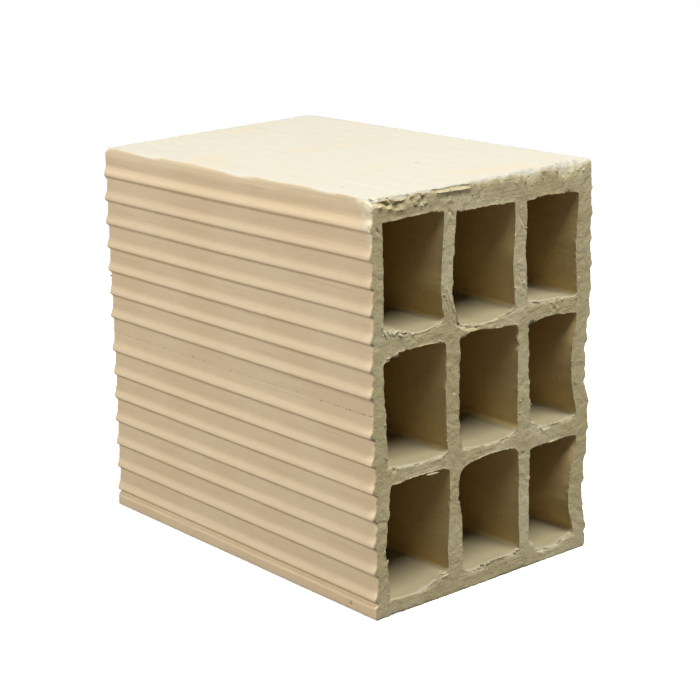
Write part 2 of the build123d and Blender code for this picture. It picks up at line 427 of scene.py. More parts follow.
for tile in tiles:
    i, j = tile["cell"]
    outside = [s for s, is_out in enumerate([j == 0, i == 2, j == 2, i == 0]) if is_out]
    reach = np.hypot(tile["ox"] - tile["cx"], tile["oz"] - tile["cz"])[None, :]
    rim = np.where(tile["on_skin"], 0.0, NONE)[None, :]
    for steps, y, flip, kind in ((face_steps, NEAR, True, NEAR_CUT),
                                 (far_face_steps, FAR, False, FAR_CUT)):
        r = steps[:, None]
        x = tile["cx"] + r * (tile["ox"] - tile["cx"])
        z = tile["cz"] + r * (tile["oz"] - tile["cz"])
        add_grid(x, y, z, r * reach, rim + (1 - r) * reach, tile, kind, flip)
    y = tube_rows[:, None] + 0 * tile["cx"]
    add_grid(tile["cx"] + 0 * y, y, tile["cz"] + 0 * y, 0.0, NONE, tile, TUBE, False)
    if outside:
        y = skin_rows[:, None] + 0 * tile["cx"]
        keep = np.isin(tile["side"], outside)
        add_grid(tile["ox"] + 0 * y, y, tile["oz"] + 0 * y, NONE, 0.0, tile, OUTSIDE, True, keep)

facts = np.concatenate(point_parts)
quads = np.concatenate(face_parts)
print("grid points:", len(facts), "quads:", len(quads))

# %% Merge shared points
used = np.unique(quads)
key = np.round(facts[used, :3] * 1000).astype(np.int64)
_, first_of, merged = np.unique(key, axis=0, return_index=True, return_inverse=True)
merged = merged.reshape(-1)
count = np.bincount(merged).astype(float)
new_index = np.zeros(len(facts), dtype=np.int64)
new_index[used] = merged
quads = new_index[quads]
facts_at = facts[used]


def average(values):
    """Mean of a value over the grid points that were merged into one."""
    return np.bincount(merged, weights=values) / count


points = facts_at[first_of, :3].copy()
cell_gap, rim_gap = facts_at[:, 3], facts_at[:, 4]
kinds = facts_at[:, 11]
cut_share = average((kinds <= FAR_CUT) * 1.0)
tube_share = average((kinds == TUBE) * 1.0)
skin_share = average((kinds == OUTSIDE) * 1.0)
print("points:", len(points), "triangles:", 2 * len(quads))

# %% [markdown]
# ## Torn mouths and chipped edges
#
# The wire drags clay along and tears it off where a web or the skin ends, so the edges of the
# two cut faces are broken, most of all along the floors of the cells and the top of the
# block. A bevel modifier would break every edge alike. Here each point near an edge knows how
# far it is from it, and a chamfer of changing size pushes it back into the clay.

# %% Tears as measured
def bumps(x, z, marks):
    """Sum over marks (x, z, reach, size) of size * exp(-(distance / reach)^2)."""
    total = np.zeros(len(x))
    for mx, mz, reach, size in marks:
        total += size * np.exp(-((x - mx) ** 2 + (z - mz) ** 2) / reach ** 2)
    return total


LIP_TEARS = [
    (-60, 137, 6, 0.7), (-48, 134, 7, 0.8), (-12, 132, 7, 2.6), (0, 131, 6, 1.8),
    (-17, 134, 4, 1.6), (12, 134, 6, 0.9), (34, 134.5, 7, 1.2), (50, 134.5, 9, 1.0),
    (-60, 72, 5, 1.2), (-50, 72, 5, 1.0), (-31, 72, 5, 1.0), (8, 72, 7, 0.5),
    (36, 70, 6, 1.6), (54, 71, 8, 0.8), (-38, 9.4, 7, 1.0), (-12, 9.4, 5, 1.6),
    (-4, 9.4, 5, 1.4), (18, 9.4, 5, 1.8), (38, 8, 7, 2.0), (56, 9.4, 6, 1.0),
    (-61, 125, 4, 0.8), (31, 124, 5, 1.6), (20.5, 119, 4, 1.6), (-24, 188, 5, 0.8),
]
CREST_CHIPS = (0.5, 0.9, 0.6, 1.1, 0.7, 0.9, 1.0, 0.8, 1.0, 0.7, 0.6, 1.0, 0.8, 1.1)
RIM_CHIPS = [(-72.5, g + 1.8, 1.7, size) for g, size in zip(GROOVES, CREST_CHIPS)] + [
    (-70.5, 198, 4, 2.8), (-71.5, 191, 3, 1.4), (-72.0, 181, 1.6, 0.7), (-72.0, 114, 1.6, 0.6),
    (-72.0, 94, 1.6, 0.7), (-59.5, 0, 5.5, 1.5), (20, 0, 7, 0.5), (67, 5, 6, 0.8),
    (69, 88, 4, 1.0), (69, 118, 4, 1.4), (72, 104, 3, 0.8), (70, 160, 3, 0.8), (69, 66, 3, 0.7),
]
top_tear_x = [-69, -63.8, -58.5, -49.2, -44.9, -33.5, -24.9, -9.4, 1.3, 3.9, 12.8, 16.7,
              22.6, 29.2, 34.5, 39.2, 44.6, 48.6, 51.3, 57.5, 64.4, 67.9, 71.3]
top_tear = [2.9, 1.9, 1.4, 3.6, 0.8, 1.9, 1.3, 1.4, 2.7, 1.7, 2.5, 1.6,
            3.1, 4.1, 3.6, 1.4, 2.6, 2.0, 5.6, 5.4, 4.6, 2.4, 1.0]
print("lip tears:", len(LIP_TEARS), "rim chips:", len(RIM_CHIPS))


# %% How large each tear is
def mouth_tear(x, z, far):
    """Chamfer of a cell's mouth: a thin worn edge, ragged noise, and the larger torn lips."""
    p = np.column_stack([x, z, 0 * x + far * 70])
    ragged = 0.22 + 0.35 * np.maximum(rough(p, 5, 11), -0.5) + 0.25 * rough(p, 1.6, 12)
    if far:
        return np.clip(ragged + 1.2 * np.maximum(rough(p, 14, 13), 0), 0.1, 3.2)
    return np.clip(ragged + bumps(x, z, LIP_TEARS) * (0.75 + 0.6 * rough(p, 2.2, 14)), 0.1, 3.8)


def rim_tear(x, z, far):
    """Chamfer of the skin's edge: as measured along the top, ragged elsewhere."""
    p = np.column_stack([x, z, 0 * x + far * 50])
    on_top = smooth_step((z - TOP + 2) / 1.5)
    ragged = 0.35 + 0.4 * rough(p, 4, 21) + 0.45 * rough(p, 1.8, 25)
    if far:
        return np.clip(ragged + 0.6 * rough(p, 12, 23) + on_top * 0.8, 0.15, 3.5)
    measured = np.interp(x, top_tear_x, top_tear) * (0.95 + 0.45 * rough(p, 1.9, 22))
    sides = bumps(x, z, RIM_CHIPS) * (0.8 + 0.6 * rough(p, 2.0, 24))
    return np.clip(ragged * (1 - 0.6 * on_top) + on_top * measured + sides, 0.12, 6.0)


# %% Push the edges back
cx, cz, ox, oz, ring_x, ring_z = facts_at[:, 5:11].T
length = np.maximum(np.hypot(ox - cx, oz - cz), 1e-6)
into_x, into_z = (ox - cx) / length, (oz - cz) / length
cell_row = np.clip(np.searchsorted(FLOOR_Z[::2], cz + 0.01) - 1, 0, 2)
on_floor = 1 - smooth_step((cz - FLOOR_Z[::2][cell_row] - 0.2) / 1.8)
near_gap, far_gap = facts_at[:, 1] - NEAR, FAR - facts_at[:, 1]
push = np.zeros((len(facts_at), 3))
torn = np.zeros(len(facts_at))
for far, gap_y in ((0, near_gap), (1, far_gap)):
    toward = 1 - 2 * far
    uneven = rough(np.column_stack([cx, cz, 0 * cx + 90 * far]), 6, 19)
    lip = 1.1 * on_floor * np.clip(0.6 + uneven, 0, 2)
    mouth = np.maximum(0, mouth_tear(cx, cz, far) + lip - cell_gap - gap_y) / 2
    rim = np.maximum(0, rim_tear(ring_x, ring_z, far) - rim_gap - gap_y) / 2
    push += np.column_stack(
        [(mouth - rim) * into_x, (mouth + rim) * toward, (mouth - rim) * into_z])
    torn += mouth + rim
print("largest tear:", torn.max().round(2))

# %% [markdown]
# Two smaller marks of the wire stay at the near end. It nicks each mouth's own outline, which
# moves into the clay (+) or into the cell (-), and it drags a thin bead round each mouth, with
# a slit under the lip of a floor. They use the same distances as the tears.

# %% Nicks in the outlines of the mouths
NICKS = [
    (-65, 33.5, 2.0, 2.6), (-64, 47, 1.5, 0.9), (-29.1, 127.6, 1.2, -0.8),
    (-56.1, 126.8, 1.3, -1.4), (-60.9, 125.7, 1.8, -1.7), (-53.3, 128.3, 1.0, 0.9),
    (-58.6, 127.0, 0.8, 0.8), (31, 123.5, 2.2, -2.2), (20.5, 118.8, 1.8, -1.0),
    (21, 115, 1.2, 0.9), (53.5, 125.5, 1.3, -1.0), (-7, 129, 1.2, -0.7), (-20, 186, 1.6, -1.0),
    (-17, 187, 1.0, 0.9), (-10, 186, 1.2, 0.9), (33, 184.5, 1.4, -0.9), (27.5, 19, 1.6, -1.1),
    (19.5, 12, 1.6, -1.4), (-30.5, 64.8, 1.0, 0.9), (-58.7, 64.5, 1.0, -0.6),
    (-18.3, 155, 1.5, -0.7), (-18, 168, 1.5, -0.6), (28.5, 95, 1.5, -0.8), (28.5, 84, 1.2, -1.0),
    (61.5, 140, 1.5, -0.7), (-26, 141, 1.8, -0.8), (-26, 20, 1.8, -0.8), (-18, 48, 1.6, 0.8),
]
jagged = np.column_stack([cx, cz, near_gap * 0.5])
nick = 0.30 * rough(jagged, 2.6, 15, 2) + 0.16 * clay_noise(jagged, 1.1, 16)
nick = nick + bumps(cx, cz, NICKS)
nick *= np.exp(-(cell_gap + near_gap) / 1.1) * (cell_gap < 4)
push[:, 0] += nick * into_x
push[:, 2] += nick * into_z
print("nicks from", nick.min().round(2), "to", nick.max().round(2))

# %% Beads and slits
pull = rough(np.column_stack([cx, cz, 0 * cx]), 5, 18)
face = np.exp(-near_gap / 0.3)
bead = np.exp(-(cell_gap / 0.45) ** 2) * (0.25 + 0.3 * pull) * face
slit = np.exp(-((cell_gap - 1.25 - 0.5 * pull) / 0.5) ** 2)
slit = slit * smooth_step(0.5 + 1.2 * pull) * on_floor * face
push[:, 1] += 0.25 * slit * (cell_gap < 3.4) - bead
torn += 0.1 * slit
print("highest bead:", bead.max().round(2), "deepest slit:", (0.25 * slit).max().round(2))

# %% The pushes of merged points
push = np.column_stack([average(push[:, k]) for k in range(3)])
torn = smooth_step(average(torn) / 0.5)
near_gap, far_gap = points[:, 1] - NEAR, FAR - points[:, 1]
print("largest push:", np.abs(push).max().round(2), "torn points:", int((torn > 0.5).sum()))

# %% [markdown]
# ## Bend it into shape
#
# Now the true shape comes together: the drift of the webs, the cut that runs a little askew at
# the far end, the two end faces set back by a hair so that crumbs can stand proud of them
# inside the block's box, and the tears.

# %% Drift, cuts and tears
FADE = 130
LEFT_LENGTH_LOW, LEFT_LENGTH_HIGH = 221.7, 214.8
NEAR_SET_BACK, FAR_SET_BACK, SET_BACK_REACH = 0.6, 0.3, 4
strength = 1 - smooth_step(near_gap / FADE)
x_new, z_new = drift(points[:, 0], points[:, 2], strength)
across, up = (points[:, 0] - LEFT) / (RIGHT - LEFT), points[:, 2] / TOP
left_length = LEFT_LENGTH_LOW * (1 - up) + LEFT_LENGTH_HIGH * up
far_length = (left_length * (1 - across) + LENGTH * across)
y_new = NEAR + near_gap * far_length / LENGTH
y_new += (NEAR_SET_BACK * np.exp(-near_gap / SET_BACK_REACH)
          - FAR_SET_BACK * np.exp(-far_gap / SET_BACK_REACH))
shape = np.column_stack([x_new, y_new, z_new]) + push
print("largest move:", np.abs(shape - points).max().round(2))

# %% [markdown]
# ## The seam at mid-height
#
# The ribbed side has a thin broken line half way up, where two streams of clay met behind the
# die's core and did not knit fully. It is hardly deep, so the surface only gets a dip of less
# than a tenth of a millimetre that wanders with noise along Y. Its short dark openings are
# finer than the mesh, so the clay's material draws them later.

# %% Dip the seam on the left side
SEAM_Z, SEAM_WANDER, SEAM_HALF_WIDTH, SEAM_DEPTH = 99.6, 0.5, 0.5, 0.08
left_skin = (skin_share > 0) & (points[:, 0] < LEFT + 4)
along_block = np.column_stack([points[:, 1], 0 * near_gap, 0 * near_gap])
line = SEAM_Z + SEAM_WANDER * clay_noise(along_block, 14, 31)
seam = left_skin * np.exp(-(np.abs(points[:, 2] - line) / SEAM_HALF_WIDTH) ** 2)
shape[:, 0] += SEAM_DEPTH * seam
print("points in the seam:", int((seam > 0.1).sum()))

# %% [markdown]
# ## Folds, scores and pits
#
# The wire also folds the wet clay over, scores it and pulls out grains. Each fold or score is a
# broken line with a width and a depth, and each pit a spot. All of them move the near face
# along Y only, in (+) or out (-), so that they can't tear the mesh.

# %% Distance to a broken line
def near_polyline(x, z, line_points):
    """Distance from points to a broken line: the least over its segments, each measured to
    the foot of the perpendicular or to the nearer end."""
    best = np.full(len(x), 1e9)
    for (ax, az), (bx, bz) in zip(line_points[:-1], line_points[1:]):
        dx, dz = bx - ax, bz - az
        t = np.clip(((x - ax) * dx + (z - az) * dz) / (dx ** 2 + dz ** 2), 0, 1)
        best = np.minimum(best, np.hypot(x - ax - t * dx, z - az - t * dz))
    return best


# %% Press them into the near face
FOLDS = [
    ([(-67.5, 197), (-63.1, 195.7), (-55.4, 194.2), (-52.8, 192.6), (-49.1, 192.9)], 0.7, -0.75),
    ([(-66.1, 197.6), (-60.9, 197.2), (-58.6, 196.0), (-53.2, 194.3)], 0.7, 1.2),
    ([(-58.5, 198.9), (-56.2, 196.9), (-49.8, 195.8)], 0.6, 0.8),
    ([(-56.8, 198), (-53.3, 197), (-49.1, 197)], 0.5, -0.6),
    ([(-17, 133.2), (-12.5, 130.6), (-6, 129.9)], 0.9, 0.8),
    ([(-40, 198.2), (-37.4, 195.4), (-41, 193.6)], 0.6, 0.7),
    ([(-46, 198.6), (-45.2, 195.8)], 0.6, 0.6),
    ([(52, 196.5), (53.4, 193.7), (56.5, 195.4)], 0.7, 0.9),
    ([(61.5, 196), (64.4, 194.4)], 0.6, 0.8),
    ([(-49.1, 193.9), (-44.0, 195.4), (-39.4, 193.0), (-35.7, 194.6), (-32.9, 193.2)], 0.6, -0.5),
    ([(-32.3, 199.0), (-26.2, 198.1), (-21.5, 198.7), (-14.3, 198.4), (-9.6, 198.0)], 0.5, 0.7),
    ([(-29.1, 197.0), (-23.9, 197.3), (-16.7, 197.3), (-9.1, 196.6)], 0.7, -0.7),
    ([(-27.2, 195.2), (-18.9, 194.8), (-9.6, 193.9)], 0.8, 0.5),
    ([(-28.3, 193.5), (-22.5, 193.1), (-14.9, 192.4), (-10.6, 191.7)], 0.5, -0.6),
    ([(-28.5, 154.4), (-23.1, 141.5)], 0.5, 0.35), ([(21.1, 181.1), (27.7, 170.4)], 0.5, 0.3),
    ([(-24.5, 152), (-20.5, 141)], 0.5, -0.35), ([(-26, 149), (-22.5, 140.5)], 0.4, -0.3),
    ([(-26.3, 87.3), (-19.3, 83.7)], 0.4, 0.25), ([(22, 150), (26.5, 141)], 0.4, 0.25),
    ([(45, 133.5), (43.5, 131.5), (46, 129)], 0.7, 0.4),
    ([(47.8, 133.8), (45.6, 131), (48, 128.6)], 0.7, -0.3),
    ([(33.4, 9.1), (38.3, 8.3), (44.0, 7.3)], 0.5, 0.7),
]
PITS = [
    (-65.4, 185.2, 0.9, 0.8), (-68.4, 47.8, 0.8, 0.5), (-65.3, 47.5, 0.7, 0.35),
    (-1.4, 193.8, 0.9, 1.0), (-3.4, 191.2, 0.9, 1.0), (-22.2, 187.7, 0.8, 0.8),
    (-20.1, 186.3, 0.7, 0.7), (39.8, 195.9, 0.9, 1.0), (52.0, 189.8, 0.8, 0.7),
    (31.0, 193.4, 0.8, 0.6), (67.9, 189.0, 0.9, 0.9), (17.8, 196.6, 0.7, 0.6),
    (-71.5, 193.8, 0.9, 0.8), (-70.5, 189.6, 0.9, 0.8), (-21, 101, 0.7, 0.4),
    (24, 60, 0.7, 0.4), (-59.0, 71.4, 0.9, 1.0), (65, 150, 0.8, 0.5),
]
near_face = cut_share * (near_gap < 1)
for line_points, width, depth in FOLDS:
    gap = near_polyline(shape[:, 0], shape[:, 2], line_points)
    shape[:, 1] += near_face * depth * np.exp(-(gap / width) ** 2)
shape[:, 1] += near_face * bumps(shape[:, 0], shape[:, 2], PITS)
print("shape box:", shape.min(axis=0).round(2), shape.max(axis=0).round(2))

# %% [markdown]
# ## Grain you can touch
#
# Last, every point moves a little along its own normal. The normal of a point is the sum of
# the normals of the quads around it. The skin only ripples, the cut faces are sandy, and the
# torn places are crumbly, so the noise is scaled by how torn a point is. The near corner at the
# top left has crumbled away furthest, so there the noise also eats into the skin.

# %% Normals by summing quads
def point_normals(p, quads):
    """Sum of each quad's cross product of diagonals over its four points, made unit length."""
    n = np.cross(p[quads[:, 2]] - p[quads[:, 0]], p[quads[:, 3]] - p[quads[:, 1]])
    corners = quads.ravel()
    total = np.column_stack([
        np.bincount(corners, weights=np.repeat(n[:, k], 4), minlength=len(p)) for k in range(3)])
    return total / np.maximum(np.linalg.norm(total, axis=1, keepdims=True), 1e-12)


# %% Ripples, sand and crumbs
stretch = shape * np.array([1, 0.12, 1])
at_end = np.exp(-np.minimum(near_gap, far_gap) / 2.5)
cut = np.clip(cut_share + at_end * 0.4, 0, 1)
fine = 0.08 * rough(stretch, 7, 41) + 0.04 * rough(shape, 3, 42)
wavy = 0.22 * rough(shape * np.array([1, 0.5, 1]), 45, 43, 2)
sandy = 0.22 * rough(shape, 2.2, 44) + 0.22 * rough(shape, 6, 45)
crumbly = 0.46 * rough(shape, 3.2, 46, 4) + 0.25 * rough(shape, 1.3, 47, 2)
nearness = 1.8 - near_gap / 7 - (TOP - points[:, 2]) / 17
eaten = skin_share * smooth_step(nearness + 0.7 * rough(shape, 4, 49, 3))
eaten *= points[:, 0] < LEFT + 7
crumbly = crumbly - 1.1 * eaten * np.maximum(rough(shape, 2.4, 48, 3) + 0.2, 0)
torn = np.maximum(torn, 0.9 * eaten)
height = fine * (1 - cut) + wavy * (1 - cut) + sandy * cut + crumbly * torn
shape = shape + point_normals(shape, quads) * height[:, None]
shape = np.clip(shape, low_corner, high_corner)
print("after grain:", shape.min(axis=0).round(2), shape.max(axis=0).round(2))

# %% [markdown]
# ## What the finish needs to know
#
# The shader can't see which part of the clay it is on, so a few numbers are stored on the
# points: how much it is a cut face, how torn it is, how deep inside a cell, for a warmer tint
# painted deep in the cells as painted shade, where the floors of the cells are, which are
# painted darker as painted shade, where the swells of the ribs are, which get a painted
# highlight, where the rounded top left edge gets painted shade, where the corner has crumbled
# to chalky clay, and where the top has a pale coat that is partly dust and partly painted
# light for the glare of the light above. A shader reads each as an attribute.

# %% Masks on the points
side_skin = skin_share * (points[:, 2] < TOP - 3)
rib = np.clip(np.searchsorted(GROOVES, points[:, 2], side="right") - 1, 0, len(GROOVES) - 1)
rise = points[:, 2] - GROOVES[rib] - STEP_RUN - CREST_FLAT
wander = 2.2 * rough(points * np.array([1, 0.5, 1]), 5, 51)
# The ragged edge of the pale top coat, which is partly dust and partly painted light for the glare
# from above.
pale_top_edge = smooth_step((points[:, 0] - LEFT - 2.6 + wander) / 0.8)
# The rounded top left edge below the pale top coat is made darker: painted shade that holds down
# the light lying on its curve.
at_shoulder = smooth_step((points[:, 2] - TOP + 3.6) / 2.2) * (points[:, 0] < LEFT + 9)
masks = {
    "cut": cut_share,
    "torn": torn,
    "cell": tube_share,
    # Deeper in a cell the colour turns warmer and more saturated: a painted shade tint.
    "deep": tube_share * smooth_step(np.minimum(near_gap, far_gap) / 45),
    # The pale coat on the top: partly dust, partly painted light for the glare of the light above.
    "top": smooth_step((points[:, 2] - TOP + 1.6) / 1.2) * skin_share * pale_top_edge,
    # The swells of the side ribs are painted paler: a painted highlight where light from above lies
    # on them.
    "swell": side_skin * smooth_step(1 - np.abs(rise / SWELL - 0.35) / 0.6),
    # Painted shade on the rounded top left edge.
    "shoulder": skin_share * at_shoulder * (1 - pale_top_edge),
    "chalk": eaten * smooth_step(1.3 + 1.5 * rough(shape, 1.8, 50, 2)),
    # The floors of the cells are painted darker: painted shade.
    "floor": tube_share * average(on_floor),
    "upright": average(smooth_step((np.abs(into_x) - np.abs(into_z)) * 2 + 0.5)),
}
print("masks:", {name: float(values.mean().round(3)) for name, values in masks.items()})

# %% Put it into Blender
SHARP_ANGLE = math.radians(42)


def make_piece(name, p_mm, quads, masks):
    """A mesh object at the origin from points in millimetres and quads, smooth but for edges
    sharper than SHARP_ANGLE, with each mask as a float attribute of its points."""
    mesh = bpy.data.meshes.new(name)
    mesh.vertices.add(len(p_mm))
    mesh.vertices.foreach_set("co", (p_mm * 0.001).astype(np.float32).ravel())
    mesh.loops.add(quads.size)
    mesh.loops.foreach_set("vertex_index", quads.astype(np.int32).ravel())
    mesh.polygons.add(len(quads))
    mesh.polygons.foreach_set("loop_start", np.arange(0, quads.size, 4, dtype=np.int32))
    mesh.polygons.foreach_set("use_smooth", np.ones(len(quads), dtype=bool))
    mesh.update(calc_edges=True)
    mesh.validate()
    mesh.set_sharp_from_angle(angle=SHARP_ANGLE)
    for mask_name, values in masks.items():
        layer = mesh.attributes.new(mask_name, "FLOAT", "POINT")
        layer.data.foreach_set("value", np.clip(values, 0, 1).astype(np.float32))
    piece = bpy.data.objects.new(name, mesh)
    bpy.context.scene.collection.objects.link(piece)
    return piece


block = make_piece("fired_block", shape, quads, masks)
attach(block, "root")
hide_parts("hollow_clay_block")
print("block:", len(block.data.vertices), "points,", 2 * len(block.data.polygons), "triangles")

# %% [markdown]
# ## Burrs and crumbs
#
# Clay that the wire dragged along hangs on the cut end as flakes, curls and crumbs. They could
# be painted into a bump, but they stand proud and throw small shadows. Each one is a small
# closed ball of quads, stretched, turned, roughened with noise and half sunk in the face. Its
# centre is set on the face itself, so that nothing hangs in front of an open cell. All of them
# together are one piece.

# %% One ball of quads
def quad_ball(n):
    """Unit ball of six n by n patches: the points of a cube, each divided by its own length."""
    t = np.tan(np.linspace(-np.pi / 4, np.pi / 4, n + 1))
    u, v = np.meshgrid(t, t, indexing="ij")
    w = np.ones_like(u)
    sides = ((w, u, v), (-w, v, u), (v, w, u), (u, -w, v), (u, v, w), (v, u, -w))
    p = np.concatenate([np.stack(side, axis=-1).reshape(-1, 3) for side in sides])
    index = np.arange(6 * (n + 1) ** 2).reshape(6, n + 1, n + 1)
    low, high = slice(None, -1), slice(1, None)
    faces = np.stack([index[:, low, low], index[:, high, low],
                      index[:, high, high], index[:, low, high]], axis=-1)
    _, first, inverse = np.unique(p.round(6), axis=0, return_index=True, return_inverse=True)
    p = p[first]
    return p / np.linalg.norm(p, axis=1, keepdims=True), inverse.reshape(-1)[faces.reshape(-1, 4)]


ball_points, ball_faces = quad_ball(3)
print("ball:", len(ball_points), "points,", len(ball_faces), "faces")


# %% Strew balls and seat them
def strewn(n, centres, sizes, angles, seed):
    """A ball for each row: scaled by its (x, y, z) half sizes, turned by its angle about Y,
    moved to its centre, and roughened along its radius by noise times its least half size."""
    ball, faces = quad_ball(n)
    p = ball[None] * sizes[:, None, :]
    c, s = np.cos(angles)[:, None], np.sin(angles)[:, None]
    turned = [p[..., 0] * c - p[..., 2] * s, p[..., 1], p[..., 0] * s + p[..., 2] * c]
    flat = (np.stack(turned, axis=-1) + centres[:, None, :]).reshape(-1, 3)
    bump = rough(flat, 1.1, seed, 2) * 0.45 + rough(flat, 3, seed + 1, 2) * 0.3
    outward = flat - np.repeat(centres, len(ball), axis=0)
    outward /= np.maximum(np.linalg.norm(outward, axis=1, keepdims=True), 1e-9)
    thin = np.repeat(sizes.min(axis=1), len(ball))
    flat = flat + outward * (bump * thin)[:, None]
    first = len(ball) * np.arange(len(centres))
    return flat, (faces[None] + first[:, None, None]).reshape(-1, 4)


def seat(centres, sizes):
    """Sets each centre's depth to that of the nearest point of the near face, as seen from the
    front. A ball further off than 0.5 mm plus 0.4 of its half size is moved onto that point, so
    nothing hangs in the air."""
    on_face = shape[near_face > 0.3]
    gaps = np.hypot(centres[:, 0, None] - on_face[:, 0], centres[:, 2, None] - on_face[:, 2])
    nearest, hanging = gaps.argmin(axis=1), gaps.min(axis=1) > 0.5 + 0.4 * sizes[:, 0]
    seated = np.where(hanging[:, None], on_face[nearest], centres)
    seated[:, 1] = on_face[nearest, 1] + 0.1
    print("moved onto the face:", int(hanging.sum()), "of", len(centres))
    return seated


SEATED_AT = NEAR + 0.72

# %% [markdown]
# The larger flakes are placed one by one, as rows of x, z, length, turn in degrees and half
# height. The crumbs are too many for that, so dice with a fixed seed strew them round the
# mouths and under the torn top edge.

# %% Flakes as measured
FLAKES = [
    (-12.7, 127.1, 6.2, 16, 0.5), (-35.6, 64.1, 8.3, -4, 0.5), (36.8, 69.3, 4, -59, 0.6),
    (-32.3, 12, 4.4, 40, 0.4), (-29.6, 13.1, 4, -4, 0.4), (-28.7, 10.4, 5, 10, 0.4),
    (-32.5, 8.9, 4, 60, 0.4), (36, 9, 5, -18, 0.5), (41, 7.8, 6, -10, 0.5),
    (26.9, 18.4, 2.5, -30, 0.5), (18.5, 12, 3, 0, 0.5), (18.5, 9.5, 2.5, 0, 0.5),
    (-29.1, 127.6, 2.5, 0, 0.5), (-56.1, 126.8, 2.5, 20, 0.6), (-60.9, 125.7, 3, 10, 0.6),
    (-54.3, 127.6, 2, 0, 0.5), (-62.2, 137, 5, -65, 0.7), (-59.9, 137.2, 4.5, -55, 0.7),
    (-57.5, 136.3, 4, -40, 0.7), (-55.5, 137, 4, 25, 0.7), (-53.4, 135, 4, -25, 0.7),
    (-58.5, 138, 3.5, 30, 0.35), (-51, 136, 3, 0, 0.4), (-47.3, 197.4, 3.2, 20, 1.0),
    (-44.3, 198.2, 2.6, -10, 0.9), (-40.8, 196.5, 3.0, 30, 1.0), (-37.7, 197.9, 2.4, 0, 0.8),
    (-34.8, 196.5, 2.6, -20, 0.9), (-36.6, 194, 2.8, 15, 0.9), (-42.6, 194.9, 3.0, -15, 0.9),
    (44.4, 132.4, 2.2, 0, 0.7), (47.8, 133.8, 2.6, 30, 0.7), (45.1, 129.8, 2.0, -40, 0.6),
    (51.3, 132.7, 2.4, 10, 0.6), (28.9, 84.5, 3, -50, 0.5), (-9.6, 10.4, 2.4, 10, 0.9),
    (-7, 10.7, 2.2, 0, 0.9), (-3.6, 9.3, 2.6, -20, 0.8), (-0.3, 9.4, 2.2, 15, 0.8),
    (-18.2, 137.4, 5.5, -74, 0.3), (-16.0, 134.0, 4.0, -50, 0.35), (-11.5, 132.6, 3.0, -12, 0.5),
    (-5.5, 131.8, 2.6, 5, 0.5), (3.8, 134, 6.6, 0, 0.3), (33.3, 135.0, 3.0, -10, 0.5),
    (-45.8, 134.2, 3.2, 20, 0.5), (-65.0, 32.5, 3.0, 80, 0.5), (-64.7, 27.4, 3.0, 70, 0.5),
    (56.8, 194.6, 3.4, 10, 0.9), (62.0, 195.2, 2.6, -20, 0.8), (30.0, 196.6, 2.4, 0, 0.7),
    (66.0, 195.0, 2.4, 35, 0.7),
]
flake_x, flake_z, flake_length, flake_turn, flake_half = np.array(FLAKES).T
flake_at = np.column_stack([flake_x, SEATED_AT + 0 * flake_x, flake_z])
flake_size = np.column_stack([flake_length / 2, 0.34 + 0.12 * flake_half, flake_half])
flake_points, flake_faces = strewn(4, seat(flake_at, flake_size), flake_size,
                                   np.radians(flake_turn), 61)

# %% Crumbs at random
MOUTH_CRUMBS, EDGE_CRUMBS = 70, 40
dice = np.random.default_rng(7)
at_lip = dice.integers(0, len(facts_at), 4000)
at_lip = at_lip[(cell_gap[at_lip] < 0.1) & (facts_at[at_lip, 1] < NEAR + 0.1)][:MOUTH_CRUMBS]
reach_out = dice.uniform(0.2, 2.6, len(at_lip)) ** 1.3
crumb_x, crumb_z = drift(cx[at_lip] + into_x[at_lip] * reach_out,
                         cz[at_lip] + into_z[at_lip] * reach_out, 1.0)
edge_x = dice.uniform(LEFT + 3, RIGHT - 3, EDGE_CRUMBS)
edge_z = TOP - np.interp(edge_x, top_tear_x, top_tear) - dice.uniform(0.3, 5, EDGE_CRUMBS)
crumb_x, crumb_z = np.concatenate([crumb_x, edge_x]), np.concatenate([crumb_z, edge_z])
crumb_size = dice.uniform(0.2, 0.55, (len(crumb_x), 1)) * dice.uniform(0.7, 1.4, (len(crumb_x), 3))
crumb_at = np.column_stack([crumb_x, np.full(len(crumb_x), SEATED_AT), crumb_z])
crumb_points, crumb_faces = strewn(2, seat(crumb_at, crumb_size), crumb_size,
                                   dice.uniform(0, np.pi, len(crumb_at)), 67)

# %% One piece of burrs
burr_points = np.clip(np.concatenate([flake_points, crumb_points]), low_corner, high_corner)
burr_faces = np.concatenate([flake_faces, crumb_faces + len(flake_points)])
ones = np.ones(len(burr_points))
curl_gap = np.hypot(burr_points[:, 0] + 57, (burr_points[:, 2] - 136) * 2)
pale = 0.3 + 0.7 * smooth_step(3 - curl_gap / 4)
burrs = make_piece("torn_clay_burrs", burr_points, burr_faces,
                   {"cut": ones, "torn": 0.4 * ones, "chalk": 0.5 * pale, "upright": 0.5 * ones})
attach(burrs, "root")
print("burrs:", len(FLAKES), "flakes,", len(crumb_at), "crumbs,", 2 * len(burr_faces), "triangles")

# %% [markdown]
# ## Fired clay
#
# Pale clay is one material with several faces: the skin is smeared smooth by the die and runs
# in fine streaks along the block, the cut is open and sandy, and the cells are plain. Some colours
# are painted light and shade: the floors of the cells are painted darker and their depths warmer
# as painted shade, the swells of the ribs paler as a painted highlight, the rounded top left edge
# darker as painted shade, and the pale coat on the top is partly dust and partly painted light
# for the glare of the light above. Image textures could show all this, but then the block would
# need UV islands and pictures. Noise on Object coordinates gives the same at any closeness. The
# noises are a node group that puts out masks, and the material lays its colours by them.

# %% Small helpers for node trees
def add_node(tree, kind, inputs=None, **settings):
    """Adds a node, sets its properties, then its inputs by name or number."""
    node = tree.nodes.new(kind)
    for key, value in settings.items():
        setattr(node, key, value)
    for key, value in (inputs or {}).items():
        if isinstance(value, bpy.types.NodeSocket):
            tree.links.new(value, node.inputs[key])
        else:
            node.inputs[key].default_value = value
    return node


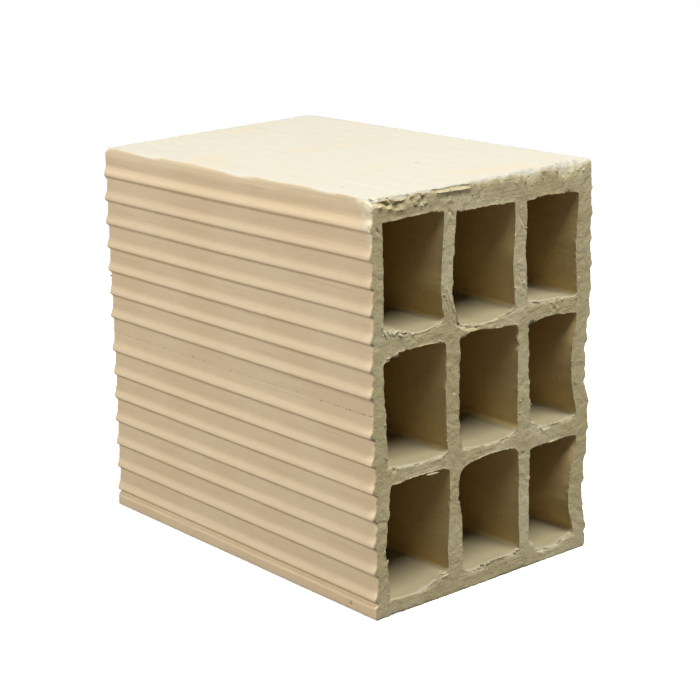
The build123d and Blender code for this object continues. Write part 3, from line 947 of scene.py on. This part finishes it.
def calc(tree, operation, a, b=0.0, clamp=False):
    """One Math node on two numbers or sockets."""
    node = add_node(tree, "ShaderNodeMath", {0: a, 1: b}, operation=operation, use_clamp=clamp)
    return node.outputs[0]


def blend(tree, share, a, b):
    """The colour a where the share is 0, b where it is 1, and mixed between."""
    node = add_node(tree, "ShaderNodeMix", {0: share}, data_type="RGBA")
    for socket, value in ((node.inputs[6], a), (node.inputs[7], b)):
        if isinstance(value, bpy.types.NodeSocket):
            tree.links.new(value, socket)
        else:
            socket.default_value = (*value, 1)
    return node.outputs[2]


def coat(tree, base, colour, where, most):
    """Lays a colour over the base, by `most` times the mask `where`."""
    return blend(tree, calc(tree, "MULTIPLY", where, most), base, colour)


def ramp(tree, value, low, high):
    """0 at low, 1 at high, smooth between. Low may be the larger of the two."""
    node = add_node(tree, "ShaderNodeMapRange",
                    {"Value": value, "From Min": low, "From Max": high},
                    interpolation_type="SMOOTHSTEP")
    return node.outputs["Result"]


def noise(tree, place, scale, detail=2.0, roughness=0.5):
    """A Noise Texture node at a place, `scale` waves to the metre."""
    return add_node(tree, "ShaderNodeTexNoise", {"Vector": place, "Scale": scale,
                                                 "Detail": detail, "Roughness": roughness})


# %% The grain as a node group
def grain_group():
    """Mottle, streaks, sand and pores from Object coordinates, each a mask from 0 to 1."""
    tree = bpy.data.node_groups.new("clay_grain", "ShaderNodeTree")
    for name, low in (("Coarse", 25.0), ("Fine", 900.0)):
        socket = tree.interface.new_socket(name, in_out="INPUT", socket_type="NodeSocketFloat")
        socket.default_value = low
    for name in ("Mottle", "Streaks", "Sand", "Pores"):
        tree.interface.new_socket(name, in_out="OUTPUT", socket_type="NodeSocketFloat")
    source = tree.nodes.new("NodeGroupInput")
    sink = tree.nodes.new("NodeGroupOutput")
    place = tree.nodes.new("ShaderNodeTexCoord").outputs["Object"]
    mottle = noise(tree, place, source.outputs["Coarse"], 5.0, 0.6)
    stretched = add_node(tree, "ShaderNodeMapping", {"Vector": place, "Scale": (1, 0.03, 1)})
    streaks = noise(tree, stretched.outputs[0], 700.0, 4.0, 0.65)
    sand = noise(tree, place, source.outputs["Fine"], 3.0, 0.7)
    pores = add_node(tree, "ShaderNodeTexVoronoi",
                     {"Vector": place, "Scale": 320.0, "Randomness": 1.0})
    for name, node in (("Mottle", mottle), ("Streaks", streaks), ("Sand", sand)):
        tree.links.new(node.outputs["Fac"], sink.inputs[name])
    tree.links.new(ramp(tree, pores.outputs["Distance"], 0.12, 0.04), sink.inputs["Pores"])
    return tree


GRAIN = grain_group()
print("group outputs:", [s.name for s in GRAIN.interface.items_tree if s.in_out == "OUTPUT"])

# %% The clay's colours
# The pale skin tint serves both the random mottle and a painted highlight on the swells of the
# ribs.
SKIN, SKIN_PALE_AND_HIGHLIGHT, SKIN_DARK = (0.64, 0.50, 0.325), (0.68, 0.555, 0.385), (0.50, 0.37, 0.225)
CUT, CUT_PALE, CUT_DARK = (0.535, 0.46, 0.265), (0.635, 0.565, 0.365), (0.35, 0.29, 0.16)
TORN, CHALK = (0.43, 0.405, 0.315), (0.80, 0.725, 0.54)
# The darker floor colour of the cells is painted shade.
# The deep colour of the cells is a painted shade tint, warmer and more saturated.
CELL, CELL_DEEP_SHADE, CELL_FLOOR_SHADE = (0.64, 0.485, 0.225), (0.66, 0.47, 0.165), (0.335, 0.29, 0.18)
# The darker colour for the rounded top left edge is painted shade.
# The pale top colour is partly dust and partly painted light for the glare on the top.
DUST_AND_TOP_LIGHT, SHOULDER_SHADE = (0.525, 0.515, 0.455), (0.43, 0.355, 0.245)
print("colours in linear light, the skin:", SKIN, "the cut:", CUT)

# %% Spots, drag marks and the seam's openings
SPOTS = [((-0.0718, -0.0205, 0.0995), 0.0008), ((-0.0718, 0.0324, 0.1000), 0.0016),
         ((0.0084, -0.054, 0.1995), 0.0012), ((-0.0571, -0.077, 0.1995), 0.001),
         ((-0.072, -0.092, 0.0035), 0.0014)]


def spot(tree, place, centre, radius):
    """1 nearer than half a radius to a centre, 0 beyond the radius."""
    gap = add_node(tree, "ShaderNodeVectorMath", {0: place, 1: centre}, operation="DISTANCE")
    return ramp(tree, gap.outputs["Value"], radius, radius * 0.5)


def drag_marks(tree, place, stretch):
    """Fine lines of the wire's drag: noise drawn out along one axis."""
    drawn = add_node(tree, "ShaderNodeMapping", {"Vector": place, "Scale": stretch}).outputs[0]
    return noise(tree, drawn, 900.0, 3.0).outputs["Fac"]


def seam_line(tree, place):
    """The unknit line on the left side: 1 within 0.15 mm of its height, where the noise along
    the block opens it, and more of it near the near end."""
    parts = add_node(tree, "ShaderNodeSeparateXYZ", {0: place}).outputs
    along = add_node(tree, "ShaderNodeCombineXYZ", {"Y": parts["Y"]}).outputs[0]
    wobble = noise(tree, along, 60.0).outputs["Fac"]
    dots = noise(tree, along, 420.0, 3.0).outputs["Fac"]
    line = calc(tree, "ADD", calc(tree, "MULTIPLY", wobble, 0.0016), 0.0988)
    gap = calc(tree, "ABSOLUTE", calc(tree, "SUBTRACT", parts["Z"], line))
    on_left = ramp(tree, parts["X"], -0.0695, -0.0705)
    near_line = calc(tree, "MULTIPLY", ramp(tree, gap, 0.00045, 0.00015), on_left)
    near_end = ramp(tree, parts["Y"], -0.055, -0.095)
    opened = calc(tree, "ADD", calc(tree, "MULTIPLY", near_end, 0.08), dots)
    openings = calc(tree, "ADD", ramp(tree, opened, 0.56, 0.66), 0.08)
    return calc(tree, "MULTIPLY", near_line, openings, clamp=True)


print("dark spots:", len(SPOTS))


# %% Colour, then relief, then the material
MASKS = ("cut", "torn", "cell", "deep", "swell", "shoulder", "chalk", "floor", "top", "upright")


def clay_colour(tree, mask, grain, broken):
    """The base colour in coats: the skin, the cut and the cells each from their own tints, with a
    painted highlight on the swells of the ribs and painted shade on the rounded top left edge,
    on the floors of the cells and as a warmer tint deep in them, and over all of them torn clay,
    chalk, a pale top coat that is partly dust and partly painted light, pores and the broken
    places."""
    mottle, streaks, sand, pores = grain
    skin = coat(tree, SKIN, SKIN_PALE_AND_HIGHLIGHT, ramp(tree, mottle, 0.38, 0.66), 0.6)
    skin = coat(tree, skin, SKIN_DARK, ramp(tree, streaks, 0.52, 0.72), 0.35)
    # Painted highlight: the swells of the ribs are made paler, where light from above lies on them.
    skin = coat(tree, skin, SKIN_PALE_AND_HIGHLIGHT, mask["swell"], 0.6)
    # Painted shade: the rounded top left edge is made darker.
    skin = coat(tree, skin, SHOULDER_SHADE, mask["shoulder"], 0.85)
    cut = blend(tree, ramp(tree, mottle, 0.4, 0.65), CUT, CUT_PALE)
    cut = coat(tree, cut, CUT_DARK, ramp(tree, sand, 0.5, 0.75), 0.5)
    cut = coat(tree, cut, CUT_PALE, ramp(tree, sand, 0.45, 0.25), 0.4)
    # Painted shade: deeper in the cells the colour turns warmer and more saturated.
    cell = blend(tree, mask["deep"], CELL, CELL_DEEP_SHADE)
    # Painted shade: the floors of the cells are made darker.
    cell = blend(tree, mask["floor"], cell, CELL_FLOOR_SHADE)
    colour = blend(tree, mask["cell"], skin, cell)
    colour = blend(tree, mask["cut"], colour, cut)
    colour = coat(tree, colour, TORN, mask["torn"], 0.7)
    colour = coat(tree, colour, CHALK, mask["chalk"], 0.8)
    # A pale coat on the top, partly dust and partly painted light for the glare of the light above.
    patchy = calc(tree, "ADD", ramp(tree, mottle, 0.3, 0.6), 0.6)
    dust_and_light = calc(tree, "MULTIPLY", mask["top"], patchy, clamp=True)
    colour = coat(tree, colour, DUST_AND_TOP_LIGHT, dust_and_light, 0.9)
    colour = coat(tree, colour, CUT_DARK, pores, 0.5)
    return coat(tree, colour, CUT_DARK, broken, 0.75)


def clay_relief(tree, mask, grain, broken, place):
    """The height for the bump: streaks on the skin and fainter in the cells, sand on the cut
    and most of all where it is torn, drag marks on the cut, less the pores and broken places."""
    _, streaks, sand, pores = grain
    drag_up = drag_marks(tree, place, (1, 1, 0.05))
    drag_across = drag_marks(tree, place, (0.05, 1, 1))
    drag = add_node(tree, "ShaderNodeMix", {0: mask["upright"], 2: drag_across, 3: drag_up})
    relief = calc(tree, "MULTIPLY", streaks, calc(tree, "SUBTRACT", 1.0, mask["cut"]))
    in_cell = calc(tree, "MULTIPLY", mask["cell"], 0.3)
    relief = calc(tree, "MULTIPLY", relief, calc(tree, "SUBTRACT", 0.45, in_cell))
    sandy = calc(tree, "ADD", calc(tree, "MULTIPLY", mask["cut"], 0.9),
                 calc(tree, "ADD", mask["torn"], 0.25))
    relief = calc(tree, "ADD", relief, calc(tree, "MULTIPLY", sand, sandy))
    relief = calc(tree, "SUBTRACT", relief, calc(tree, "MULTIPLY", pores, 0.6))
    dragged = calc(tree, "MULTIPLY", drag.outputs[0], mask["cut"])
    relief = calc(tree, "ADD", relief, calc(tree, "MULTIPLY", dragged, 0.5))
    return calc(tree, "SUBTRACT", relief, calc(tree, "MULTIPLY", broken, 1.2))


def fired_clay(name):
    """The whole finish: masks and grain in, colour, roughness and bump out."""
    material = bpy.data.materials.new(name)
    material.use_nodes = True
    tree = material.node_tree
    shader = tree.nodes["Principled BSDF"]
    mask = {m: add_node(tree, "ShaderNodeAttribute", attribute_name=m).outputs["Fac"]
            for m in MASKS}
    group = tree.nodes.new("ShaderNodeGroup")
    group.node_tree = GRAIN
    grain = [group.outputs[n] for n in ("Mottle", "Streaks", "Sand", "Pores")]
    place = tree.nodes.new("ShaderNodeTexCoord").outputs["Object"]
    broken = seam_line(tree, place)
    for centre, radius in SPOTS:
        broken = calc(tree, "MAXIMUM", broken, spot(tree, place, centre, radius))
    colour = clay_colour(tree, mask, grain, broken)
    tree.links.new(colour, shader.inputs["Base Color"])
    dull = calc(tree, "ADD", calc(tree, "MULTIPLY", grain[2], 0.15), 0.8)
    tree.links.new(dull, shader.inputs["Roughness"])
    shader.inputs["Specular IOR Level"].default_value = 0.25
    relief = clay_relief(tree, mask, grain, broken, place)
    bump = add_node(tree, "ShaderNodeBump",
                    {"Height": relief, "Strength": 0.7, "Distance": 0.0004})
    tree.links.new(bump.outputs[0], shader.inputs["Normal"])
    return material


clay = fired_clay("fired_clay_finish")
block.data.materials.append(clay)
burrs.data.materials.append(clay)
print("clay nodes:", len(clay.node_tree.nodes))

# %% [markdown]
# ## Floor, light and camera
#
# The block stands on a plain pale floor. A wide soft light hangs over it and slightly to the
# front, so the top is brightest and light falls on the cell floors behind their mouths, and a
# weaker warm one stands at the left. A faint one behind keeps the far sides from going black,
# where the photograph doesn't look. The floor fades out, so that no edge of it shows. The
# camera's place and axes were fitted to the straight edges of the block in the photograph.

# %% Floor
HALF_SIDE, FADE_OUT, FADE_IN = 6.0, 0.95, 0.3
floor_corners = [(x * HALF_SIDE, y * HALF_SIDE, 0) for x, y in ((-1, -1), (1, -1), (1, 1), (-1, 1))]
floor_mesh = bpy.data.meshes.new("studio_floor")
floor_mesh.from_pydata(floor_corners, [], [(0, 1, 2, 3)])
floor = bpy.data.objects.new("studio_floor", floor_mesh)
bpy.context.scene.collection.objects.link(floor)
pale_floor = bpy.data.materials.new("pale_floor")
pale_floor.use_nodes = True
tree = pale_floor.node_tree
matt = tree.nodes["Principled BSDF"]
seen = tree.nodes.new("ShaderNodeLightPath").outputs["Is Camera Ray"]
tree.links.new(blend(tree, seen, (0.15, 0.15, 0.15), (0.97, 0.97, 0.97)), matt.inputs["Base Color"])
tree.links.new(calc(tree, "MULTIPLY", seen, 0.45), matt.inputs["Emission Strength"])
matt.inputs["Emission Color"].default_value = (1, 1, 1, 1)
matt.inputs["Roughness"].default_value = 0.9
matt.inputs["Specular IOR Level"].default_value = 0.0
place = tree.nodes.new("ShaderNodeTexCoord").outputs["Object"]
away = add_node(tree, "ShaderNodeVectorMath", {0: place}, operation="LENGTH").outputs["Value"]
tree.links.new(ramp(tree, away, FADE_OUT, FADE_IN), matt.inputs["Alpha"])
floor_mesh.materials.append(pale_floor)
print("floor:", floor.dimensions)


# %% Lights
AIM = Vector((0, 0, 0.12))


def soft_light(name, place, size, power, colour):
    """A square area light at a place, turned so that its -Z axis looks at AIM."""
    lamp = bpy.data.lights.new(name, "AREA")
    lamp.shape, lamp.size, lamp.energy, lamp.color = "SQUARE", size, power, colour
    light = bpy.data.objects.new(name, lamp)
    light.location = place
    light.rotation_euler = (AIM - Vector(place)).to_track_quat("-Z", "Y").to_euler()
    bpy.context.scene.collection.objects.link(light)
    return light


soft_light("front_overhead_softbox", (0.04, -1.08, 2.85), 1.3, 119, (1.0, 0.985, 0.93))
soft_light("left_softbox", (-1.35, 0.2, 0.75), 0.5, 16.3, (1.0, 0.97, 0.93))
soft_light("rear_right_fill", (1.25, 0.8, 0.42), 0.6, 5, (1.0, 0.985, 0.95))
world = bpy.data.worlds.new("studio")
bpy.context.scene.world = world
world.use_nodes = True
tree = world.node_tree
back = tree.nodes["Background"]
seen = tree.nodes.new("ShaderNodeLightPath").outputs["Is Camera Ray"]
tree.links.new(calc(tree, "ADD", calc(tree, "MULTIPLY", seen, 0.9), 0.1), back.inputs["Strength"])
back.inputs["Color"].default_value = (1, 1, 1, 1)
bpy.context.scene.view_settings.view_transform = "Standard"
bpy.context.scene.view_settings.look = "None"

# %% Camera
eye = Vector((-0.60063, -0.74946, 0.36365))
right_hand = Vector((0.77140479, -0.63561106, -0.03054877))
upward = Vector((0.19367831, 0.18878552, 0.96272984))
ahead = Vector((0.60615456, 0.74857105, -0.26873413))
lens = bpy.data.cameras.new("camera")
lens.lens, lens.sensor_width, lens.sensor_fit = 98.46, 36.0, "HORIZONTAL"
camera = bpy.data.objects.new("camera", lens)
axes = Matrix((right_hand, upward, -ahead)).transposed().to_4x4()
camera.matrix_world = Matrix.Translation(eye) @ axes
bpy.context.scene.collection.objects.link(camera)
bpy.context.scene.camera = camera
print("camera at", eye)
